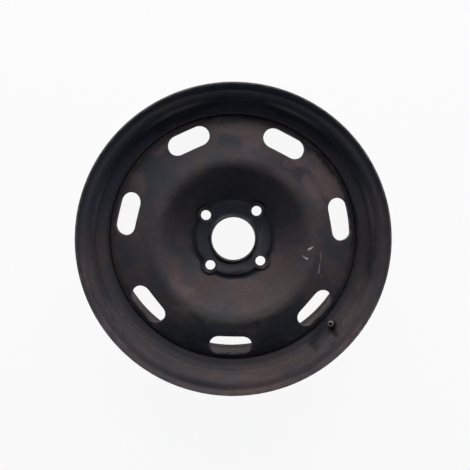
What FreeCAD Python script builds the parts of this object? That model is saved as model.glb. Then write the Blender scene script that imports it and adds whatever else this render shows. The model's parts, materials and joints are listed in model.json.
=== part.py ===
"""Pressed steel car wheel with a snap-in tyre valve.

The wheel lies on its inboard flange with the outboard face up. The origin is on the wheel
axis, in the plane of the hub mounting face. +Z runs along the axis to the outboard side.
All lengths are in millimetres and all angles in degrees.
"""
import FreeCAD, Part
import math
import os
import Sketcher
from FreeCAD import Rotation, Vector

SIZES = {
    # Rim: a rolled strip with a J flange at each edge
    "bead_diameter": 405.6,
    "rim_width": 165.1,
    "wheel_offset": 21,
    "rim_sheet": 2.8,
    "flange_height": 17.5,
    "flange_curl": 8,
    "lip_curl": 5,
    "lip_angle": 35,
    "lip_flat": 0.4,
    "lip_reach": 2,
    "heel_radius": 6.5,
    "seat_taper": 5,
    "seat_width": 19,
    "hump_height": 0.8,
    "hump_run": 3.5,
    "hump_radius": 6,
    "shoulder_width": 30,
    "shoulder_drop": 1.4,
    "shoulder_radius": 4.5,
    "rear_shoulder_radius": 20,
    "wall_angle": 20,
    "well_depth": 17.3,
    "well_radius": 3,
    "well_width": 48,
    "ledge_radius": 14,
    # Disc: one pressing from the bore lip to the skirt
    "disc_sheet": 3.8,
    "skirt_gap": 0.1,
    "skirt_end": 12,
    "skirt_radius": 5.5,
    "crown_diameter": 227,
    "crown_height": 46.2,
    "crown_radius": 16,
    "face_angle": 20,
    "hub_diameter": 126,
    "hub_radius": 4,
    "plateau_diameter": 111,
    "plateau_height": 3.2,
    "plateau_round": 5,
    "plateau_foot": 1.5,
    "bore_diameter": 65.1,
    "bore_stock": 1.5,
    "bore_lip": 5,
    "bore_lip_radius": 4,
    # Bolt holes, each on a raised boss with a conical seat
    "bolt_circle": 108,
    "bolt_count": 4,
    "bolt_turn": 49.74,
    "bolt_hole": 15,
    "bolt_seat": 20,
    "bolt_seat_angle": 30,
    "boss_diameter": 24,
    "boss_draft": 22,
    "lobe_diameter": 32,
    "lobe_start": 120,
    "cup_depth": 3.5,
    "pad_diameter": 34,
    "pad_shift": 6,
    # Vent holes
    "vent_count": 7,
    "vent_turn": 11.3,
    "vent_circle": 317.5,
    "vent_length": 63,
    "vent_width": 31.4,
    "vent_corner": 15,
    "vent_round": 1.5,
    # Weld beads that hold the skirt in the well
    "weld_leg": 5,
    "weld_height": 3.4,
    "weld_sweep": 26,
    "weld_gap": 0.05,
    # Valve body: rubber moulded round a metal tube and snapped into the rim wall
    "valve_turn": -40.1,
    "valve_hole": 11.5,
    "valve_reach": 36.8,
    "groove_gap": 0.3,
    "neck_gap": 0.05,
    "valve_base": 15.6,
    "valve_base_height": 5.6,
    "valve_base_round": 2.4,
    "valve_base_edge": 1.2,
    "collar_diameter": 12.8,
    "collar_height": 3,
    "sleeve_foot": 11.8,
    "sleeve_top": 10.4,
    "sleeve_rise": 3,
    "sleeve_end": 25.5,
    "sleeve_round": 1.2,
    "bond_gap": 0.02,
    "tube_thread": 7.7,
    "tube_shank": 6.4,
    "tube_chamber": 5.2,
    "tube_bore": 3.9,
    "chamber_depth": 8.5,
    "chamber_cone": 1.4,
    "tube_inset": 1.5,
    "tip_chamfer": 0.5,
    # Valve core: a screwed plug, a barrel and a sprung pin with its sealing cup
    "core_gap": 0.1,
    "plug_depth": 2,
    "plug_length": 4.5,
    "plug_passage": 2.8,
    "barrel_diameter": 3.3,
    "barrel_chamber": 2.6,
    "barrel_mouth": 1.6,
    "barrel_length": 11,
    "barrel_floor": 1,
    "seal_lift": 0.25,
    "seal_edge": 0.2,
    "seal_length": 1.8,
    "seal_diameter": 4.4,
    "pin_diameter": 1,
    "pin_head": 1.7,
    "pin_head_length": 0.8,
    "pin_depth": 0.6,
    "collar_on_pin": 2.2,
    "collar_on_pin_length": 0.5,
    "cup_diameter": 3.2,
    "cup_length": 2.4,
    "cup_seal_length": 0.8,
    "cup_gap": 0.03,
    "pin_tail": 1,
    "spring_wire": 0.3,
    "spring_turns": 7,
    "spring_length": 5.5,
}

doc = FreeCAD.newDocument("steel_wheel")
sheet = doc.addObject("Spreadsheet::Sheet", "dim")
for row, (alias, size) in enumerate(SIZES.items(), start=1):
    sheet.set(f"A{row}", alias)
    sheet.set(f"B{row}", str(size))
    sheet.setAlias(f"B{row}", alias)
doc.recompute()

UPRIGHT = FreeCAD.Placement(Vector(0, 0, 0), Rotation(Vector(1, 0, 0), 90))
START, END, CENTRE = range(1, 4)
X_AXIS = -START
ORIGIN = (X_AXIS, START)
TOUCH = 0.01


def number(expression):
    """The present value of an expression over the sheet."""
    return float(sheet.evalExpression(expression))


def bind(thing, **expressions):
    """Bind properties of an object to expressions; two underscores stand for a dot."""
    for path, expression in expressions.items():
        thing.setExpression(path.replace("__", "."), str(expression))


def corner_arc(before, corner, after, radius):
    """The two tangent points and the centre of the arc that rounds a corner."""
    arriving = (before - corner).normalize()
    leaving = (after - corner).normalize()
    half = arriving.getAngle(leaving) / 2
    reach = radius / math.tan(half)
    middle = (arriving + leaving).normalize()
    centre = corner + middle * (radius / math.sin(half))
    return corner + arriving * reach, corner + leaving * reach, centre


def angle_about(centre, point):
    return math.atan2(point.y - centre.y, point.x - centre.x)


def draw_path(sketch, corners, closed=False):
    """Draw straight runs between corners, each corner rounded by an arc where it has a radius.

    A corner is (x, y, radius) in expressions over the sheet, with radius None for a sharp one.
    """
    count = len(corners)
    spots = [Vector(number(x), number(y), 0) for x, y, _ in corners]
    arcs = {}
    for k, (_, _, radius) in enumerate(corners):
        if radius is not None:
            arcs[k] = corner_arc(spots[k - 1], spots[k], spots[(k + 1) % count], number(radius))
    runs = count if closed else count - 1

    markers = sketch.addGeometry([Part.Point(spot) for spot in spots], True)
    lines = []
    for k in range(runs):
        after = (k + 1) % count
        tail = arcs[k][1] if k in arcs else spots[k]
        tip = arcs[after][0] if after in arcs else spots[after]
        lines.append(sketch.addGeometry(Part.LineSegment(tail, tip), False))

    rules = []
    bindings = []

    def rule(*words, expression=None, name=None):
        if expression is not None:
            bindings.append((len(rules), name, expression))
        rules.append(Sketcher.Constraint(*words))

    for k, (x, y, radius) in enumerate(corners):
        rule("DistanceX", *ORIGIN, markers[k], START, spots[k].x, expression=x, name=f"x{k}")
        rule("DistanceY", *ORIGIN, markers[k], START, spots[k].y, expression=y, name=f"y{k}")
        arriving = lines[k - 1] if closed or k > 0 else None
        leaving = lines[k] if k < runs else None
        if radius is None:
            if arriving is not None:
                rule("Coincident", arriving, END, markers[k], START)
            if leaving is not None:
                rule("Coincident", leaving, START, markers[k], START)
            continue
        first, last, centre = arcs[k]
        size = number(radius)
        turns_left = (first - centre).cross(last - centre).z > 0
        begin, finish = (first, last) if turns_left else (last, first)
        circle = Part.Circle(centre, Vector(0, 0, 1), size)
        arc = sketch.addGeometry(
            Part.ArcOfCircle(circle, angle_about(centre, begin), angle_about(centre, finish)), False)
        near, far = (START, END) if turns_left else (END, START)
        rule("PointOnObject", markers[k], START, arriving)
        rule("PointOnObject", markers[k], START, leaving)
        rule("Tangent", arriving, END, arc, near)
        rule("Tangent", arc, far, leaving, START)
        rule("Radius", arc, size, expression=radius, name=f"round{k}")

    sketch.addConstraint(rules)
    for index, name, expression in bindings:
        sketch.renameConstraint(index, name)
        sketch.setExpression(f"Constraints.{name}", expression)


def offset_band(name, source, mode, fill, distance):
    """The line at an even distance from a path, or the face between the two."""
    band = doc.addObject("Part::Offset2D", name)
    band.Source = source
    band.Mode = mode
    band.Fill = fill
    bind(band, Value=distance)
    return band


def rolled_strip(name, corners, thickness, round_ends=False):
    """Sheet of even thickness along the inner side of a path, turned about the wheel axis."""
    path = doc.addObject("Sketcher::SketchObject", name + "_path")
    path.Placement = UPRIGHT
    draw_path(path, corners)
    if round_ends:
        middle = offset_band(name + "_middle", path, "Skin", False, f"-{thickness} / 2")
        band = offset_band(name + "_band", middle, "Pipe", True, f"{thickness} / 2")
    else:
        band = offset_band(name + "_band", path, "Skin", True, f"-{thickness}")
    ring = doc.addObject("Part::Revolution", name + "_ring")
    ring.Source = band
    ring.Axis = Vector(0, 0, 1)
    ring.Angle = 360
    ring.Solid = True
    doc.recompute()
    return ring


def origin_plane(body, role):
    return next(plane for plane in body.Origin.OriginFeatures if plane.Role == role)


def body_sketch(body, name, role, lift=None):
    """A sketch on an origin plane of its own body, raised along the plane's normal by lift."""
    sketch = body.newObject("Sketcher::SketchObject", name)
    sketch.AttachmentSupport = [(origin_plane(body, role), "")]
    sketch.MapMode = "FlatFace"
    if lift is not None:
        bind(sketch, AttachmentOffset__Base__z=lift)
    return sketch


def turned_body(name, corners):
    """A solid turned about its own axis from a closed profile."""
    body = doc.addObject("PartDesign::Body", name)
    profile = body_sketch(body, name + "_profile", "XZ_Plane")
    draw_path(profile, corners, closed=True)
    turned = body.newObject("PartDesign::Revolution", name + "_turned")
    turned.Profile = profile
    turned.ReferenceAxis = (profile, ["V_Axis"])
    turned.Angle = 360
    doc.recompute()
    return body


def bind_rules(sketch, rules, *expressions):
    """Bind the first of a sketch's constraints to expressions, in order."""
    for rule, expression in zip(rules, expressions):
        sketch.setExpression(f"Constraints[{rule}]", expression)


def bound_circle(sketch, radius, along):
    """A circle on the sketch's own x axis at a bound distance from the wheel axis."""
    spot = Vector(number(along), 0, 0)
    circle = sketch.addGeometry(Part.Circle(spot, Vector(0, 0, 1), number(radius)))
    rules = sketch.addConstraint([
        Sketcher.Constraint("DistanceX", *ORIGIN, circle, CENTRE, spot.x),
        Sketcher.Constraint("Radius", circle, number(radius)),
        Sketcher.Constraint("PointOnObject", circle, CENTRE, X_AXIS),
    ])
    bind_rules(sketch, rules, along, radius)


def polar(body, name, originals, count):
    """Repeat features evenly about the wheel axis."""
    pattern = body.newObject("PartDesign::PolarPattern", name)
    pattern.Originals = originals
    axis = next(line for line in body.Origin.OriginFeatures if line.Role == "Z_Axis")
    pattern.Axis = (axis, [""])
    pattern.Angle = 360
    bind(pattern, Occurrences=count)
    body.Tip = pattern
    doc.recompute()
    return pattern


# Places that several pieces share
BEAD = "dim.bead_diameter / 2"
CREST = f"({BEAD} + dim.flange_height)"
WELL = f"({BEAD} - dim.well_depth)"
SHOULDER = f"({BEAD} - dim.shoulder_drop)"
OUTBOARD = "(dim.rim_width / 2 - dim.wheel_offset)"
INBOARD = "(-dim.rim_width / 2 - dim.wheel_offset)"
WALL_TOP = f"({OUTBOARD} - dim.shoulder_width)"
WALL_FOOT = f"({WALL_TOP} - ({SHOULDER} - {WELL}) * tan(dim.wall_angle))"
WELL_END = f"({WALL_FOOT} - dim.well_width)"
SKIRT = f"({WELL} - dim.rim_sheet - dim.skirt_gap)"
SKIRT_FOOT = "(-dim.skirt_end)"
PLATEAU = "(dim.disc_sheet + dim.plateau_height)"
BOLT_RING = "dim.bolt_circle / 2"


def flange_corners(face, side):
    """One edge of the rim, from the lip's end over the flange to the shoulder of the well."""
    curl = "(dim.flange_curl + dim.lip_flat + dim.lip_curl * tan(dim.lip_angle / 2))"
    bend = f"({face} + {side} * {curl})"
    seat_end = f"({face} - {side} * dim.seat_width)"
    seat_radius = f"({BEAD} - dim.seat_width * tan(dim.seat_taper))"
    return [
        (f"{CREST} - dim.lip_reach * sin(dim.lip_angle)",
         f"{bend} + {side} * dim.lip_reach * cos(dim.lip_angle)", None),
        (CREST, bend, "dim.lip_curl"),
        (CREST, face, "dim.flange_curl"),
        (BEAD, face, "dim.heel_radius"),
        (seat_radius, seat_end, "dim.hump_radius"),
        (f"{seat_radius} + dim.hump_height", f"{seat_end} - {side} * dim.hump_run", "dim.hump_radius"),
    ]


def make_rim():
    """The rolled rim: two flanges, two bead seats and a drop-centre well near the outboard side."""
    outboard = flange_corners(OUTBOARD, 1)
    inboard = flange_corners(INBOARD, -1)
    middle = [
        (SHOULDER, WALL_TOP, "dim.shoulder_radius"),
        (WELL, WALL_FOOT, "dim.well_radius"),
        (WELL, WELL_END, "dim.ledge_radius"),
        (SHOULDER, f"{INBOARD} + dim.shoulder_width", "dim.rear_shoulder_radius"),
    ]
    strip = rolled_strip("rim", outboard + middle + inboard[::-1], "dim.rim_sheet", round_ends=True)
    drill = doc.addObject("Part::Cylinder", "valve_drill")
    bind(drill, Radius="dim.valve_hole / 2", Height="dim.valve_base")
    place_on_wall(drill, "-dim.valve_base / 2")
    rim = doc.addObject("Part::Cut", "rim")
    rim.Base = strip
    rim.Tool = drill
    return rim


def place_on_wall(thing, along="0"):
    """Stand a piece square on the middle of the well's front wall, moved along the valve axis."""
    radius = f"(({SHOULDER} + {WELL}) / 2 - {along} * sin(dim.wall_angle))"
    bind(thing,
         Placement__Base__x=f"{radius} * cos(dim.valve_turn)",
         Placement__Base__y=f"{radius} * sin(dim.valve_turn)",
         Placement__Base__z=f"({WALL_TOP} + {WALL_FOOT}) / 2 + {along} * cos(dim.wall_angle)",
         Placement__Rotation__Axis__x="sin(dim.valve_turn)",
         Placement__Rotation__Axis__y="-cos(dim.valve_turn)",
         Placement__Rotation__Axis__z="0",
         Placement__Rotation__Angle="dim.wall_angle")


def make_disc():
    """The pressed disc: bore lip, hub plateau, bowl, crown, vented face and skirt."""
    lip = "(dim.bore_diameter / 2 - dim.bore_stock + dim.disc_sheet)"
    pressing = rolled_strip("disc", [
        (lip, f"{PLATEAU} + dim.bore_lip", None),
        (lip, PLATEAU, "dim.bore_lip_radius"),
        ("dim.plateau_diameter / 2", PLATEAU, "dim.plateau_round"),
        ("dim.plateau_diameter / 2 + dim.plateau_height", "dim.disc_sheet", "dim.plateau_foot"),
        ("dim.hub_diameter / 2", "dim.disc_sheet", "dim.hub_radius"),
        ("dim.crown_diameter / 2", "dim.crown_height", "dim.crown_radius"),
        (SKIRT, face_height(SKIRT), "dim.skirt_radius"),
        (SKIRT, SKIRT_FOOT, None),
    ], "dim.disc_sheet")
    body = doc.addObject("PartDesign::Body", "wheel_disc")
    body.BaseFeature = pressing
    bind(body, Placement__Rotation__Angle="dim.vent_turn")
    doc.recompute()
    add_bolt_bosses(body)
    bore = pocket(body, "bore", "XY_Plane")
    bound_circle(bore.Profile[0], "dim.bore_diameter / 2", "0")
    bore.Type = "ThroughAll"
    bore.Midplane = True
    doc.recompute()
    add_vents(body)
    return body


def face_height(radius):
    """Height of the sloping front face, or of its straight extension, at a radius."""
    return f"(dim.crown_height - ({radius} - dim.crown_diameter / 2) * tan(dim.face_angle))"


def pocket(body, name, role, lift=None):
    cut = body.newObject("PartDesign::Pocket", name)
    cut.Profile = body_sketch(body, name + "_outline", role, lift)
    return cut


def turn_to_bolt(sketch):
    """Turn a sketch of the disc so that its x axis runs through a bolt hole and not a vent."""
    bind(sketch, AttachmentOffset__Rotation__Angle="dim.bolt_turn - dim.vent_turn")


def add_bolt_bosses(body):
    """Lobes pressed into the foot of the bowl, each with a boss, a bolt hole and a conical seat."""
    pad_sketch = body_sketch(body, "bolt_pad_outline", "XY_Plane")
    turn_to_bolt(pad_sketch)
    bound_circle(pad_sketch, "dim.pad_diameter / 2", f"{BOLT_RING} + dim.pad_shift")
    pad = body.newObject("PartDesign::Pad", "bolt_pad")
    pad.Profile = pad_sketch
    bind(pad, Length="dim.disc_sheet")
    doc.recompute()

    cup_sketch = body_sketch(body, "bolt_cup_outline", "XY_Plane")
    turn_to_bolt(cup_sketch)
    lobe_end = f"({BOLT_RING} + dim.lobe_diameter / 2)"
    draw_crescent(cup_sketch, "(dim.lobe_diameter / 2 + dim.disc_sheet)", f"({lobe_end} - dim.cup_depth)")
    cup = body.newObject("PartDesign::Pad", "bolt_cup")
    cup.Profile = cup_sketch
    bind(cup, Length=PLATEAU)
    doc.recompute()

    lobe = pocket(body, "bolt_lobe", "XY_Plane", "dim.disc_sheet")
    turn_to_bolt(lobe.Profile[0])
    draw_crescent(lobe.Profile[0], "dim.lobe_diameter / 2", "dim.lobe_start / 2")
    lobe.Reversed = True
    bind(lobe, Length="dim.lobe_diameter")
    doc.recompute()

    boss = body.newObject("PartDesign::AdditiveCone", "bolt_boss")
    place_on_bolt_ring(body, boss)
    bind(boss,
         Radius1=f"dim.boss_diameter / 2 + {PLATEAU} * tan(dim.boss_draft)",
         Radius2="dim.boss_diameter / 2",
         Height=PLATEAU)
    doc.recompute()

    hole = pocket(body, "bolt_hole", "XY_Plane")
    turn_to_bolt(hole.Profile[0])
    bound_circle(hole.Profile[0], "dim.bolt_hole / 2", BOLT_RING)
    hole.Type = "ThroughAll"
    hole.Midplane = True
    doc.recompute()

    seat_depth = "((dim.bolt_seat - dim.bolt_hole) / 2 / tan(dim.bolt_seat_angle))"
    seat = body.newObject("PartDesign::SubtractiveCone", "bolt_seat")
    place_on_bolt_ring(body, seat, f"{PLATEAU} - {seat_depth}")
    bind(seat, Radius1="dim.bolt_hole / 2", Radius2="dim.bolt_seat / 2", Height=seat_depth)
    doc.recompute()
    polar(body, "bolt_ring", [pad, cup, lobe, boss, hole, seat], "dim.bolt_count")


def place_on_bolt_ring(body, thing, height="0"):
    """Stand a feature of the disc on a bolt hole's axis."""
    thing.AttachmentSupport = [(origin_plane(body, "XY_Plane"), "")]
    thing.MapMode = "FlatFace"
    bind(thing,
         AttachmentOffset__Base__x=f"{BOLT_RING} * cos(dim.bolt_turn - dim.vent_turn)",
         AttachmentOffset__Base__y=f"{BOLT_RING} * sin(dim.bolt_turn - dim.vent_turn)",
         AttachmentOffset__Base__z=height)


def draw_crescent(sketch, outer_size, inner_size):
    """The crescent between a circle about a bolt hole and a circle about the wheel axis."""
    centre = number(BOLT_RING)
    outer = number(outer_size)
    inner = number(inner_size)
    tip_x = (inner ** 2 + centre ** 2 - outer ** 2) / (2 * centre)
    tip_y = math.sqrt(inner ** 2 - tip_x ** 2)
    wide = math.atan2(tip_y, tip_x - centre)
    narrow = math.atan2(tip_y, tip_x)
    up = Vector(0, 0, 1)
    about_bolt = Part.Circle(Vector(centre, 0, 0), up, outer)
    about_axis = Part.Circle(Vector(0, 0, 0), up, inner)
    far = sketch.addGeometry(Part.ArcOfCircle(about_bolt, -wide, wide))
    near = sketch.addGeometry(Part.ArcOfCircle(about_axis, -narrow, narrow))
    rules = sketch.addConstraint([
        Sketcher.Constraint("DistanceX", *ORIGIN, far, CENTRE, centre),
        Sketcher.Constraint("Radius", far, outer),
        Sketcher.Constraint("Radius", near, inner),
        Sketcher.Constraint("PointOnObject", far, CENTRE, X_AXIS),
        Sketcher.Constraint("Coincident", near, CENTRE, *ORIGIN),
        Sketcher.Constraint("Coincident", far, START, near, START),
        Sketcher.Constraint("Coincident", far, END, near, END),
    ])
    bind_rules(sketch, rules, BOLT_RING, outer_size, inner_size)


def add_vents(body):
    """Rounded slots pierced square to the sloping face, with their front edges rounded."""
    vent = pocket(body, "vent", "XY_Plane")
    outline = vent.Profile[0]
    bind(outline,
         AttachmentOffset__Base__x="dim.vent_circle / 2",
         AttachmentOffset__Base__z=face_height("dim.vent_circle / 2"),
         AttachmentOffset__Rotation__Axis__x="0",
         AttachmentOffset__Rotation__Axis__y="1",
         AttachmentOffset__Rotation__Axis__z="0",
         AttachmentOffset__Rotation__Angle="dim.face_angle")
    across = "dim.vent_width / 2"
    along = "dim.vent_length / 2"
    draw_path(outline, [
        (f"-{across}", f"-{along}", "dim.vent_corner"),
        (across, f"-{along}", "dim.vent_corner"),
        (across, along, "dim.vent_corner"),
        (f"-{across}", along, "dim.vent_corner"),
    ], closed=True)
    vent.Midplane = True
    bind(vent, Length="dim.vent_width")
    doc.recompute()
    ring = polar(body, "vent_ring", [vent], "dim.vent_count")
    rims = []
    for index, edge in enumerate(ring.Shape.Edges, start=1):
        spot = edge.valueAt(edge.FirstParameter)
        radius = math.hypot(spot.x, spot.y)
        reach = abs(radius - number("dim.vent_circle / 2"))
        on_face = abs(spot.z - number(face_height(str(radius)))) < TOUCH
        if on_face and reach < number("dim.vent_width / 2 + dim.vent_round"):
            rims.append(f"Edge{index}")
    soften = body.newObject("PartDesign::Fillet", "vent_edges")
    soften.Base = (ring, rims)
    bind(soften, Radius="dim.vent_round")
    body.Tip = soften
    doc.recompute()


def make_welds():
    """Fillet weld beads behind the skirt, one for each bridge between two vents."""
    foot = f"({SKIRT_FOOT} - dim.weld_gap)"
    wall = f"({WELL} - dim.rim_sheet - dim.weld_gap)"
    section = doc.addObject("Sketcher::SketchObject", "weld_section")
    section.Placement = UPRIGHT
    draw_path(section, [
        (wall, foot, None),
        (wall, f"{foot} - dim.weld_leg", None),
        (f"{wall} - dim.weld_height", foot, None),
    ], closed=True)
    beads = []
    for k in range(round(number("dim.vent_count"))):
        bead = doc.addObject("Part::Revolution", f"weld_bead_{k + 1}")
        bead.Source = section
        bead.Axis = Vector(0, 0, 1)
        bead.Solid = True
        turn = f"dim.vent_turn + {k + 0.5} * 360 / dim.vent_count - dim.weld_sweep / 2"
        bind(bead, Angle="dim.weld_sweep", Placement__Rotation__Angle=turn)
        beads.append(bead)
    welds = doc.addObject("Part::Compound", "weld_beads")
    welds.Links = beads
    return welds


# Heights along the valve axis, from the tyre side of the rim wall out to the tip
BASE_FACE = "(-dim.groove_gap)"
BASE_END = f"({BASE_FACE} - dim.valve_base_height)"
COLLAR_FACE = "(dim.rim_sheet + dim.groove_gap)"
COLLAR_TOP = f"({COLLAR_FACE} + dim.collar_height)"
TIP = "dim.valve_reach"
CHAMBER = f"({TIP} - dim.chamber_depth)"
PLUG_FOOT = f"({TIP} - dim.plug_depth - dim.plug_length)"
BARREL_FOOT = f"({PLUG_FOOT} - dim.barrel_length)"
SPRING_FOOT = f"({BARREL_FOOT} + dim.barrel_floor)"
SEAL_FACE = f"({BARREL_FOOT} - dim.cup_gap)"
CUP_FACE = f"({SEAL_FACE} - dim.cup_seal_length)"
CUP_END = f"({CUP_FACE} - dim.cup_length)"
PIN_BORE = "(dim.pin_diameter / 2 + dim.bond_gap)"


def valve_piece(name, corners):
    """A turned piece that stands on the valve axis."""
    body = turned_body(name, corners)
    place_on_wall(body)
    return body


def tube_piece(name, inner, outer, low, high):
    """A plain ring or sleeve on the valve axis."""
    return valve_piece(name, [
        (inner, low, None),
        (outer, low, None),
        (outer, high, None),
        (inner, high, None),
    ])


def make_valve():
    """The snap-in valve body: moulded rubber round a metal tube with a threaded tip."""
    inner = "(dim.tube_shank / 2 + dim.bond_gap)"
    neck = "(dim.valve_hole / 2 - dim.neck_gap)"
    rubber = valve_piece("valve_rubber", [
        (inner, BASE_END, None),
        ("dim.valve_base / 2", BASE_END, "dim.valve_base_round"),
        ("dim.valve_base / 2", BASE_FACE, "dim.valve_base_edge"),
        (neck, BASE_FACE, None),
        (neck, COLLAR_FACE, None),
        ("dim.collar_diameter / 2", COLLAR_FACE, None),
        ("dim.collar_diameter / 2", COLLAR_TOP, "dim.sleeve_round"),
        ("dim.sleeve_foot / 2", f"{COLLAR_TOP} + dim.sleeve_rise", "dim.sleeve_round"),
        ("dim.sleeve_top / 2", "dim.sleeve_end", "dim.sleeve_round"),
        (inner, "dim.sleeve_end", None),
    ])
    shoulder = "(dim.sleeve_end + dim.bond_gap)"
    tube = valve_piece("valve_tube", [
        ("dim.tube_bore / 2", f"{BASE_END} + dim.tube_inset", None),
        ("dim.tube_shank / 2", f"{BASE_END} + dim.tube_inset", None),
        ("dim.tube_shank / 2", shoulder, None),
        ("dim.tube_thread / 2", shoulder, None),
        ("dim.tube_thread / 2", f"{TIP} - dim.tip_chamfer", None),
        ("dim.tube_thread / 2 - dim.tip_chamfer", TIP, None),
        ("dim.tube_chamber / 2", TIP, None),
        ("dim.tube_chamber / 2", CHAMBER, None),
        ("dim.tube_bore / 2", f"{CHAMBER} - dim.chamber_cone", None),
    ])
    return [rubber, tube]


def make_core():
    """The valve core: plug and barrel fixed in the tube, and a sprung pin with its sealing cup."""
    plug = tube_piece("core_plug", "dim.plug_passage / 2", "dim.tube_chamber / 2 - dim.core_gap",
                      PLUG_FOOT, f"{TIP} - dim.plug_depth")
    barrel = valve_piece("core_barrel", [
        ("dim.barrel_mouth / 2", BARREL_FOOT, None),
        ("dim.barrel_diameter / 2", BARREL_FOOT, None),
        ("dim.barrel_diameter / 2", PLUG_FOOT, None),
        ("dim.barrel_chamber / 2", PLUG_FOOT, None),
        ("dim.barrel_chamber / 2", SPRING_FOOT, None),
        ("dim.barrel_mouth / 2", SPRING_FOOT, None),
    ])
    seal_foot = f"({CHAMBER} - dim.chamber_cone + dim.seal_lift)"
    seal_bore = "(dim.barrel_diameter / 2 + dim.bond_gap)"
    seal = valve_piece("barrel_seal", [
        (seal_bore, seal_foot, None),
        (f"{seal_bore} + dim.seal_edge", seal_foot, None),
        ("dim.seal_diameter / 2", f"{seal_foot} + dim.seal_length", None),
        (seal_bore, f"{seal_foot} + dim.seal_length", None),
    ])
    collar_foot = f"({SPRING_FOOT} + dim.spring_length + dim.bond_gap)"
    collar_top = f"({collar_foot} + dim.collar_on_pin_length)"
    head_top = f"({TIP} - dim.pin_depth)"
    head_foot = f"({head_top} - dim.pin_head_length)"
    stem = "dim.pin_diameter / 2"
    pin = valve_piece("core_pin", [
        ("0", f"{CUP_END} - dim.pin_tail", None),
        (stem, f"{CUP_END} - dim.pin_tail", None),
        (stem, collar_foot, None),
        ("dim.collar_on_pin / 2", collar_foot, None),
        ("dim.collar_on_pin / 2", collar_top, None),
        (stem, collar_top, None),
        (stem, head_foot, None),
        ("dim.pin_head / 2", head_foot, None),
        ("dim.pin_head / 2", head_top, None),
        ("0", head_top, None),
    ])
    cup = tube_piece("core_cup", PIN_BORE, "dim.cup_diameter / 2", CUP_END, CUP_FACE)
    cup_seal = tube_piece("cup_seal", PIN_BORE, "dim.cup_diameter / 2", CUP_FACE, SEAL_FACE)
    return [plug, barrel, seal, make_spring(), pin, cup, cup_seal]


def make_spring():
    """The coil spring between the barrel's floor and the collar on the pin."""
    body = doc.addObject("PartDesign::Body", "core_spring")
    wire = body_sketch(body, "spring_wire", "XZ_Plane")
    along = "(dim.barrel_chamber + dim.pin_diameter) / 4"
    rise = f"({SPRING_FOOT} + dim.spring_wire / 2 + dim.bond_gap)"
    thick = "dim.spring_wire / 2"
    spot = Vector(number(along), number(rise), 0)
    circle = wire.addGeometry(Part.Circle(spot, Vector(0, 0, 1), number(thick)))
    rules = wire.addConstraint([
        Sketcher.Constraint("DistanceX", *ORIGIN, circle, CENTRE, spot.x),
        Sketcher.Constraint("DistanceY", *ORIGIN, circle, CENTRE, spot.y),
        Sketcher.Constraint("Radius", circle, number(thick)),
    ])
    bind_rules(wire, rules, along, rise, thick)
    coil = body.newObject("PartDesign::AdditiveHelix", "spring_coil")
    coil.Profile = wire
    coil.ReferenceAxis = (wire, ["V_Axis"])
    coil.Mode = "height-turns-angle"
    bind(coil, Height="dim.spring_length - dim.spring_wire - 2 * dim.bond_gap", Turns="dim.spring_turns")
    place_on_wall(body)
    doc.recompute()
    return body


pieces = [make_rim(), make_disc(), make_welds(), *make_valve(), *make_core()]
doc.recompute()
for thing in doc.Objects:
    if "Invalid" in thing.State or "Error" in thing.State:
        raise RuntimeError(f"{thing.Name} failed: {thing.State}")
for piece in pieces:
    if piece.Shape.isNull() or not piece.Shape.isValid():
        raise RuntimeError(f"{piece.Label} has no valid shape")

os.makedirs("parts", exist_ok=True)
for piece in pieces:
    piece.Shape.exportStep(f"parts/{piece.Label}.step")
    print(piece.Label, len(piece.Shape.Solids), round(piece.Shape.Volume, 2))
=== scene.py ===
"""Worn black steel wheel with its tyre valve, lying face up on a pale studio floor.

The camera looks down on the wheel from where the photograph was taken. Every length is in
metres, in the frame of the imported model: the wheel axis is Z, and Z = 0 is the hub's face.
"""
import json
import math

import bpy
from mathutils import Matrix, Vector


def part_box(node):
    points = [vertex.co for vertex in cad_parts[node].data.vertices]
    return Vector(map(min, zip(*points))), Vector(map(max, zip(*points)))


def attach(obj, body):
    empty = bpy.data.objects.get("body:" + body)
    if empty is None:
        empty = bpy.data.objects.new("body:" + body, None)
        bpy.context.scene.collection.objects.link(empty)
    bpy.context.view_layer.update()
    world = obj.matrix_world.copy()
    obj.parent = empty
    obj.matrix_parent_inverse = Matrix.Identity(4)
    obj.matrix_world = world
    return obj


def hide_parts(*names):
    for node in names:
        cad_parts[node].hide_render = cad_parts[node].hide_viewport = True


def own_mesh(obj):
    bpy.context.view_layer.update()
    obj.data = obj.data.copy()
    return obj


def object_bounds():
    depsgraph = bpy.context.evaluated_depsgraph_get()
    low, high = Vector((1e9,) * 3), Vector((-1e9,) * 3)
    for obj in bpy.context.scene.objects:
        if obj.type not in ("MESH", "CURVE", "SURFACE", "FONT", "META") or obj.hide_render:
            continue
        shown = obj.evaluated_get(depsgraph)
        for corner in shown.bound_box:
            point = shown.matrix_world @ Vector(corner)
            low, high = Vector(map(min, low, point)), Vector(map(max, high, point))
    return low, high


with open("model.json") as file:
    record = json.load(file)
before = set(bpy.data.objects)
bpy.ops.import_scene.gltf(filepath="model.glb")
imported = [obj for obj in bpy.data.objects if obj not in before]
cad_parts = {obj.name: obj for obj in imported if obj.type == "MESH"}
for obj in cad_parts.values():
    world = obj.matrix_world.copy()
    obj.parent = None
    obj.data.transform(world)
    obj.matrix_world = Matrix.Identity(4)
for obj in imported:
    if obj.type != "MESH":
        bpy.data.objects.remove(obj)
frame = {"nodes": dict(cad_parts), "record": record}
CAD_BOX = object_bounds()
MM = 0.001
WHEEL_BODY = "wheel"
MOUNTS = {mount["name"]: mount for mount in frame["record"]["mounts"]}

# Camera, fitted to the photograph's outline, bolt holes and bore
IMAGE_SIZE = 470
FOCAL_PIXELS = 544.7
SENSOR = 36.0
CAMERA_PLACE = Vector((-0.0108, 0.1029, 0.82075))
CAMERA_TURN = Vector((math.radians(6.84), math.radians(0.93), 0.0))

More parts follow.
